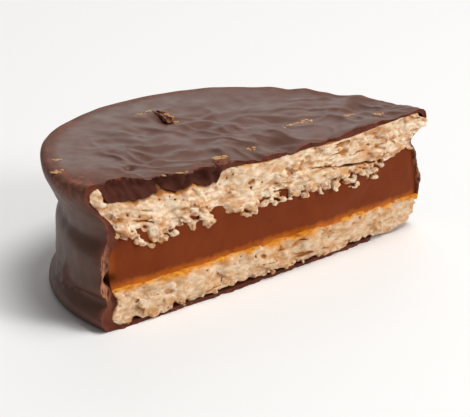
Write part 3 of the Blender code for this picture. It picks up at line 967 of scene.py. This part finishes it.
# %% The splinter and the crumbs on the top
splinter_place = surface_point(-7.6, 1.3) + Vector((0.0, 0.0, 0.25))
splinter_parts = [
    small_lump(splinter_place + Vector((0.0, 0.0, 0.15)), (1.8, 0.6, 0.5), 0.12, 3.0, 0.4, 3),
    small_lump(splinter_place + Vector((0.9, 0.1, 0.12)), (0.6, 0.45, 0.36), 0.5, 8.0, 0.4, 2),
]
splinter_mesh = make_mesh("splinter", *joined(splinter_parts))
store(splinter_mesh, "worn", 1.2)
store(splinter_mesh, "torn", 0.12)
splinter = add_piece("splinter", splinter_mesh, "chocolate")

rng = random.Random(31)
smudges = (  # x, y, length and width of each patch of crumbs
    *((14.2, 8.3, 2.2, 0.5), (11.4, 8.0, 0.9, 0.4), (22.1, 6.4, 1.0, 0.4), (25.2, 3.4, 1.0, 0.3)),
    *((-14.9, 1.7, 1.0, 0.15), (-17.9, 2.0, 0.4, 0.1), (-1.2, 24.3, 0.5, 0.3), (-0.4, 19.2, 0.4, 0.4)),
    *((0.6, 3.9, 0.7, 0.55), (-25.3, 15.8, 0.4, 0.3), (-29.2, 11.6, 0.9, 0.5), (-2.6, 24.6, 0.5, 0.3)),
)
crumb_parts = []


def stick(place, half_sizes, rough):
    """Adds one crumb, turned and worn at random."""
    turn, seed = rng.uniform(0.0, 3.0), rng.uniform(0.0, 90.0)
    crumb_parts.append(small_lump(place, half_sizes, turn, seed, rough))


for at_x, at_y, long, wide in smudges:
    for _ in range(int(9 * long + 4)):
        place = surface_point(rng.gauss(at_x, long * 0.5), rng.gauss(at_y, wide * 0.5))
        size = rng.uniform(0.1, 0.3)
        stick(place, (size * rng.uniform(0.8, 1.5), size, size * rng.uniform(0.25, 0.5)), 0.4)
for _ in range(22):
    place = splinter_place + Vector((rng.gauss(-0.4, 0.6), rng.uniform(0.1, 0.6), 0.58))
    stick(place, (0.42, 0.3, 0.14), 0.5)
for _ in range(9):
    place = surface_point(-0.6, 20.8) + Vector((rng.uniform(0.0, 0.25), rng.uniform(-1.3, 0.8), 0.6))
    stick(place, (0.15, 0.26, 0.12), 0.5)
top_crumb_mesh = make_mesh("crumbs_on_top", *joined(crumb_parts))
for name, value in (("sunk", 0.22), ("level", HEIGHT), ("skin", 0.4)):
    store(top_crumb_mesh, name, value)
top_crumbs = add_piece("crumbs_on_top", top_crumb_mesh, "biscuit")
print(len(crumb_parts), "crumbs on the top")

# %% [markdown]
# ## Materials
# Each material starts from the real stuff. Colours are written as sRGB hex values, the way a
# colour picker shows them, and one function turns them into the linear values that Blender
# works with. Another adds a node. It names most inputs by their place, counted from 0: a Mix
# node has its share at 0 and its two colours at 6 and 7, and a Map Range turns the values at 1
# and 2 into those at 3 and 4, which are 0 and 1 unless they are given. Places are in
# millimetres, so a noise of Scale 0.5 has lumps of about 2 mm.

# %% Helpers for materials
IN_COLOUR = {"data_type": "RGBA", "out": 2}  # makes a Mix node mix colours, and gives its colour output


def colour(code):
    """A linear colour from an sRGB hex code."""
    parts = [int(code[at : at + 2], 16) / 255.0 for at in (1, 3, 5)]
    linear = [part / 12.92 if part <= 0.04045 else ((part + 0.055) / 1.055) ** 2.4 for part in parts]
    return (*linear, 1.0)


def add(tree, kind, inputs, out=0, **settings):
    """Adds a node and gives one of its outputs. Inputs are values, hex codes or outputs to link."""
    made = tree.nodes.new("ShaderNode" + kind)
    for key, value in settings.items():
        setattr(made, key, value)
    for key, value in inputs.items():
        if isinstance(value, bpy.types.NodeSocket):
            tree.links.new(value, made.inputs[key])
        else:
            made.inputs[key].default_value = colour(value) if isinstance(value, str) else value
    return made.outputs[out]


def new_material(name, *stored):
    """A material, its shader, places on the object in mm, and the numbers stored on the mesh."""
    material = bpy.data.materials.new(name)
    material.use_nodes = True
    tree = material.node_tree
    tree.nodes.clear()
    shader = add(tree, "BsdfPrincipled", {}).node
    surface = tree.nodes.new("ShaderNodeOutputMaterial").inputs["Surface"]
    tree.links.new(shader.outputs["BSDF"], surface)
    spot = add(tree, "TexCoord", {}, "Object")
    mm = add(tree, "VectorMath", {0: spot, 1: (1000.0,) * 3}, operation="MULTIPLY")
    numbers = [add(tree, "Attribute", {}, "Fac", attribute_name=label) for label in stored]
    return material, tree, shader, mm, *numbers


# %% [markdown]
# Dark chocolate that ran over the biscuit and set in cool air is satin, not glossy: a soft sheen
# on a red-brown body. Where it was rubbed or broken it is lighter, redder and matt, because the
# surface there is full of tiny chips. Only the thick patch at the left broke dark, as fresh
# chocolate does, and where the skin tore instead of breaking it shows pale upright fibres.

# %% Dark chocolate, enrobed: the body, its wear and its broken edge
stored = ("worn", "broken", "torn", "thick")
chocolate, tree, shader, mm, *numbers = new_material("dark chocolate, enrobed and set", *stored)
worn, broken, torn, thick = numbers
tint = add(tree, "TexNoise", {"Vector": mm, "Scale": 0.17, "Detail": 3.0})
chips = add(tree, "TexNoise", {"Vector": mm, "Scale": 0.9, "Detail": 6.0, "Roughness": 0.75})
chipped = add(tree, "MapRange", {0: chips, 1: 0.46, 2: 0.62})
rubbed = add(tree, "Math", {0: chipped, 1: worn}, operation="MULTIPLY")
dark = add(tree, "Math", {0: thick, 1: 0.7}, operation="MULTIPLY")
edge_tone = add(tree, "Mix", {0: chips, 6: "#2E120D", 7: "#80432F"}, **IN_COLOUR)
edge_tone = add(tree, "Mix", {0: dark, 6: edge_tone, 7: "#3A1A12"}, **IN_COLOUR)
upright = add(tree, "VectorMath", {0: mm, 1: (4.0, 4.0, 0.7)}, operation="MULTIPLY")
fibres = add(tree, "TexNoise", {"Vector": upright, "Scale": 1.0, "Detail": 4.0})
fibre = add(tree, "MapRange", {0: fibres, 1: 0.35, 2: 0.65})
torn_tone = add(tree, "Mix", {0: fibre, 6: "#4A2219", 7: "#B47858"}, **IN_COLOUR)
tone = add(tree, "Mix", {0: tint, 6: "#52301F", 7: "#643A28"}, **IN_COLOUR)
for share, over in ((rubbed, "#84452E"), (broken, edge_tone), (torn, torn_tone)):
    tone = add(tree, "Mix", {0: share, 6: tone, 7: over}, **IN_COLOUR)
tree.links.new(tone, shader.inputs["Base Color"])

# %% Dark chocolate: its sheen
sheen = add(tree, "TexNoise", {"Vector": mm, "Scale": 0.5, "Detail": 4.0})
satin = add(tree, "MapRange", {0: sheen, 1: 0.3, 2: 0.7, 3: 0.42, 4: 0.54})
dull = add(tree, "Math", {0: worn, 1: broken}, operation="MAXIMUM")
roughness = add(tree, "Math", {0: dull, 1: 0.28, 2: satin}, operation="MULTIPLY_ADD")
tree.links.new(roughness, shader.inputs["Roughness"])
shader.inputs["IOR"].default_value = 1.46
matt = add(tree, "MapRange", {0: broken, 3: 0.5, 4: 0.15})
tree.links.new(matt, shader.inputs["Specular IOR Level"])
grain = add(tree, "TexNoise", {"Vector": mm, "Scale": 2.4, "Detail": 5.0})
bumps = add(tree, "Bump", {"Strength": 0.35, "Distance": 0.0001, "Height": grain})
tree.links.new(bumps, shader.inputs["Normal"])
for piece in (coating, curl, splinter):
    piece.data.materials.append(chocolate)

# %% [markdown]
# The biscuit is starch, fat and air, baked pale. Its broken face scatters light like coarse
# bread: fully matt, light where a crumb stands out, and a deeper orange brown in the pits, where
# light bounces from crumb to crumb; that bounce light is painted into the colour, and the deepest
# hollows get painted shade. Its tones lie in streaks along the layers, because the dough was
# rolled. The lower edge of each biscuit is darker, partly from a smear of what lies under it and
# partly from painted shade under its ragged crumbs. The top millimetre of the lower biscuit took
# up the caramel and turned amber.

# %% Soft biscuit, baked and broken: where each tone goes
stored = ("sunk", "level", "skin", "stained_and_shaded")
crumb_finish, tree, shader, mm, *numbers = new_material("soft biscuit, baked and broken", *stored)
sunk, level, skin, stained_and_shaded = numbers
layers = add(tree, "VectorMath", {0: mm, 1: (0.6, 1.0, 1.5)}, operation="MULTIPLY")
tint = add(tree, "TexNoise", {"Vector": layers, "Scale": 1.2, "Detail": 5.0, "Roughness": 0.7})
tinted = add(tree, "MapRange", {0: tint, 1: 0.42, 2: 0.66})
toast = add(tree, "TexNoise", {"Vector": layers, "Scale": 0.62, "Detail": 3.0, "Distortion": 0.5})
toasted = add(tree, "MapRange", {0: toast, 1: 0.48, 2: 0.66, 4: 0.75})
under_skin = add(tree, "MapRange", {0: skin, 1: 0.9, 2: 0.1, 4: 0.35})
in_upper = add(tree, "Math", {0: level, 1: 8.0}, operation="GREATER_THAN")
bronzed = add(tree, "Math", {0: under_skin, 1: in_upper}, operation="MULTIPLY")
bronzed = add(tree, "Math", {0: bronzed, 1: toast}, operation="MULTIPLY")
# the lower edge is darkened: partly a smear of caramel and chocolate, partly painted shade under the
# hanging crumbs
smear_and_shade_noise = add(tree, "TexNoise", {"Vector": mm, "Scale": 1.0, "Detail": 4.0, "Roughness": 0.7})
smear_and_shade = add(tree, "MapRange", {0: smear_and_shade_noise, 1: 0.47, 2: 0.6, 4: 0.85})
smear_and_shade = add(tree, "Math", {0: smear_and_shade, 1: stained_and_shaded}, operation="MULTIPLY")
in_lower = add(tree, "Math", {0: level, 1: 7.0}, operation="LESS_THAN")
darker = add(tree, "Math", {0: in_lower, 1: 0.3}, operation="MULTIPLY")
# painted bounce light: the pits are painted a deeper orange brown
pit = add(tree, "MapRange", {0: sunk, 1: -0.04, 2: 0.32})
# painted shade: the deepest hollows are painted dark brown
hollow = add(tree, "MapRange", {0: sunk, 1: 0.35, 2: 0.9})
soak_edge = add(tree, "TexNoise", {"Vector": mm, "Scale": 0.55, "Detail": 4.0})
soak_level = add(tree, "Math", {0: soak_edge, 1: -2.4, 2: level}, operation="MULTIPLY_ADD")
soaked = add(tree, "MapRange", {0: soak_level, 1: 3.2, 2: 4.1})
soaked = add(tree, "Math", {0: soaked, 1: in_lower}, operation="MULTIPLY")
amber = add(tree, "Mix", {0: tinted, 6: "#E39B33", 7: "#BC6A1C"}, **IN_COLOUR)

# %% Soft biscuit: each tone laid over the last
tone = add(tree, "Mix", {0: tinted, 6: "#EFDBC1", 7: "#D2A87B"}, **IN_COLOUR)
# the lower-edge coat, the pit coat and the hollow coat paint shade and bounce light into the tone
coats = (
    (toasted, "#CB9058"),
    (bronzed, "#C4803F"),
    (smear_and_shade, "#8A5230"),
    (darker, "#B58A5A"),
    (pit, "#BA7A3F"),
    (hollow, "#80502C"),
    (soaked, amber),
)
for share, over in coats:
    tone = add(tree, "Mix", {0: share, 6: tone, 7: over}, **IN_COLOUR)
tree.links.new(tone, shader.inputs["Base Color"])
shader.inputs["Roughness"].default_value = 0.9
shader.inputs["IOR"].default_value = 1.4
shader.inputs["Specular IOR Level"].default_value = 0.2
shader.inputs["Subsurface Weight"].default_value = 0.4
shader.inputs["Subsurface Radius"].default_value = (1.0, 0.55, 0.3)  # red light goes deepest
shader.inputs["Subsurface Scale"].default_value = 0.0005
grain = add(tree, "TexNoise", {"Vector": mm, "Scale": 2.6, "Detail": 6.0, "Roughness": 0.65})
bumps = add(tree, "Bump", {"Strength": 0.45, "Distance": 0.00025, "Height": grain})
tree.links.new(bumps, shader.inputs["Normal"])
for piece in (biscuit_upper, biscuit_lower, top_crumbs):
    piece.data.materials.append(crumb_finish)

# %% [markdown]
# Milk caramel is sugar and milk boiled down to a paste. A torn face of it is smooth and softly
# shiny, and light goes a little way in, so it glows amber where it is thin: along its lower edge
# and at the left end. That glow is painted into the colour. The small hole at the left is
# painted dark, as painted shade.

# %% Milk caramel
stored = ("level", "along", "hole")
caramel_finish, tree, shader, mm, *numbers = new_material("milk caramel, torn", *stored)
level, sideways, hole = numbers
tint = add(tree, "TexNoise", {"Vector": mm, "Scale": 0.3, "Detail": 4.0})
edge = add(tree, "TexNoise", {"Vector": mm, "Scale": 0.7, "Detail": 4.0})
edge_level = add(tree, "Math", {0: edge, 1: 1.6, 2: level}, operation="MULTIPLY_ADD")
thin = add(tree, "MapRange", {0: edge_level, 1: 7.1, 2: 5.7})
left_end = add(tree, "MapRange", {0: sideways, 1: -27.0, 2: -28.8, 4: 0.4})
# painted glow: amber where the caramel is thin and at its left end
glow = add(tree, "Math", {0: thin, 1: left_end}, operation="MAXIMUM")
tone = add(tree, "Mix", {0: tint, 6: "#6A2A0E", 7: "#7C3712"}, **IN_COLOUR)
# painted glow where the caramel is thin, and painted shade inside the small hole
for share, over in ((glow, "#C86C1C"), (hole, "#2A1008")):
    tone = add(tree, "Mix", {0: share, 6: tone, 7: over}, **IN_COLOUR)
tree.links.new(tone, shader.inputs["Base Color"])
shader.inputs["Roughness"].default_value = 0.5
shader.inputs["IOR"].default_value = 1.45
shader.inputs["Specular IOR Level"].default_value = 0.08
grain = add(tree, "TexNoise", {"Vector": mm, "Scale": 3.0, "Detail": 3.0})
bumps = add(tree, "Bump", {"Strength": 0.25, "Distance": 0.0001, "Height": grain})
tree.links.new(bumps, shader.inputs["Normal"])
caramel.data.materials.append(caramel_finish)

# %% [markdown]
# ## Floor, light and camera
# The light is that of a product photograph: a bright, even surround, a large soft light from
# behind that gives the satin chocolate its sheen, and softer ones above and in front. The
# camera's numbers come from fitting it to the round rims and the ends of the break.

# %% Floor
bpy.ops.mesh.primitive_plane_add(size=4.0, location=(0.0, 0.0, 0.0))
floor = bpy.context.object
floor.name = "floor"
floor_finish, _, shader, _ = new_material("white laminate, matt")
shader.inputs["Base Color"].default_value = colour("#F2F1EF")
shader.inputs["Roughness"].default_value = 0.7
floor.data.materials.append(floor_finish)

# %% Surround and lights
world = bpy.data.worlds.new("studio")
bpy.context.scene.world = world
world.use_nodes = True
sky = world.node_tree.nodes["Background"]
sky.inputs["Color"].default_value = colour("#FFFFFF")
sky.inputs["Strength"].default_value = 0.24


def soft_light(name, place, aim, size, power):
    lamp = bpy.data.lights.new(name, "AREA")
    lamp.shape = "DISK"
    lamp.size = size
    lamp.energy = power
    light = bpy.data.objects.new(name, lamp)
    light.location = place
    light.rotation_euler = (Vector(aim) - Vector(place)).to_track_quat("-Z", "Y").to_euler()
    bpy.context.scene.collection.objects.link(light)


soft_light("window behind", (0.62, 0.68, 0.42), (0.0, 0.0, 0.01), 0.75, 1.7)
soft_light("top light", (0.12, -0.12, 0.65), (0.0, 0.0, 0.01), 0.35, 2.8)
soft_light("face light", (0.3, -0.62, 0.35), (0.0, -0.01, 0.01), 0.3, 2.9)

# %% Camera
AZIMUTH, ELEVATION, ROLL = math.radians(-42.62), math.radians(20.38), math.radians(-0.8)
DISTANCE = 0.5147  # in metres
FOCAL_PIXELS = 1608 * 2.196  # focal length in pixels of a picture that is PICTURE_WIDTH wide
PICTURE_WIDTH = 470
SENSOR_WIDTH = 36.0
reach = math.cos(ELEVATION)
back = Vector((math.sin(AZIMUTH) * reach, -math.cos(AZIMUTH) * reach, math.sin(ELEVATION)))
right = Vector((math.cos(AZIMUTH), math.sin(AZIMUTH), 0.0))
up = back.cross(right)
across = right * math.cos(ROLL) - up * math.sin(ROLL)
upright = right * math.sin(ROLL) + up * math.cos(ROLL)
aim = Vector((6.73 + MIDDLE[0], 14.0 + MIDDLE[1], 5.32)) * 0.001
lens = bpy.data.cameras.new("camera")
lens.sensor_width = SENSOR_WIDTH
lens.lens = FOCAL_PIXELS / PICTURE_WIDTH * SENSOR_WIDTH
lens.clip_start = 0.01
lens.clip_end = 10.0
camera = bpy.data.objects.new("camera", lens)
turned = Matrix((across, upright, back)).transposed().to_4x4()
camera.matrix_world = Matrix.Translation(aim + back * DISTANCE) @ turned
bpy.context.scene.collection.objects.link(camera)
bpy.context.scene.camera = camera
bpy.context.scene.view_settings.view_transform = "Standard"
print("lens", round(lens.lens, 1), "mm")
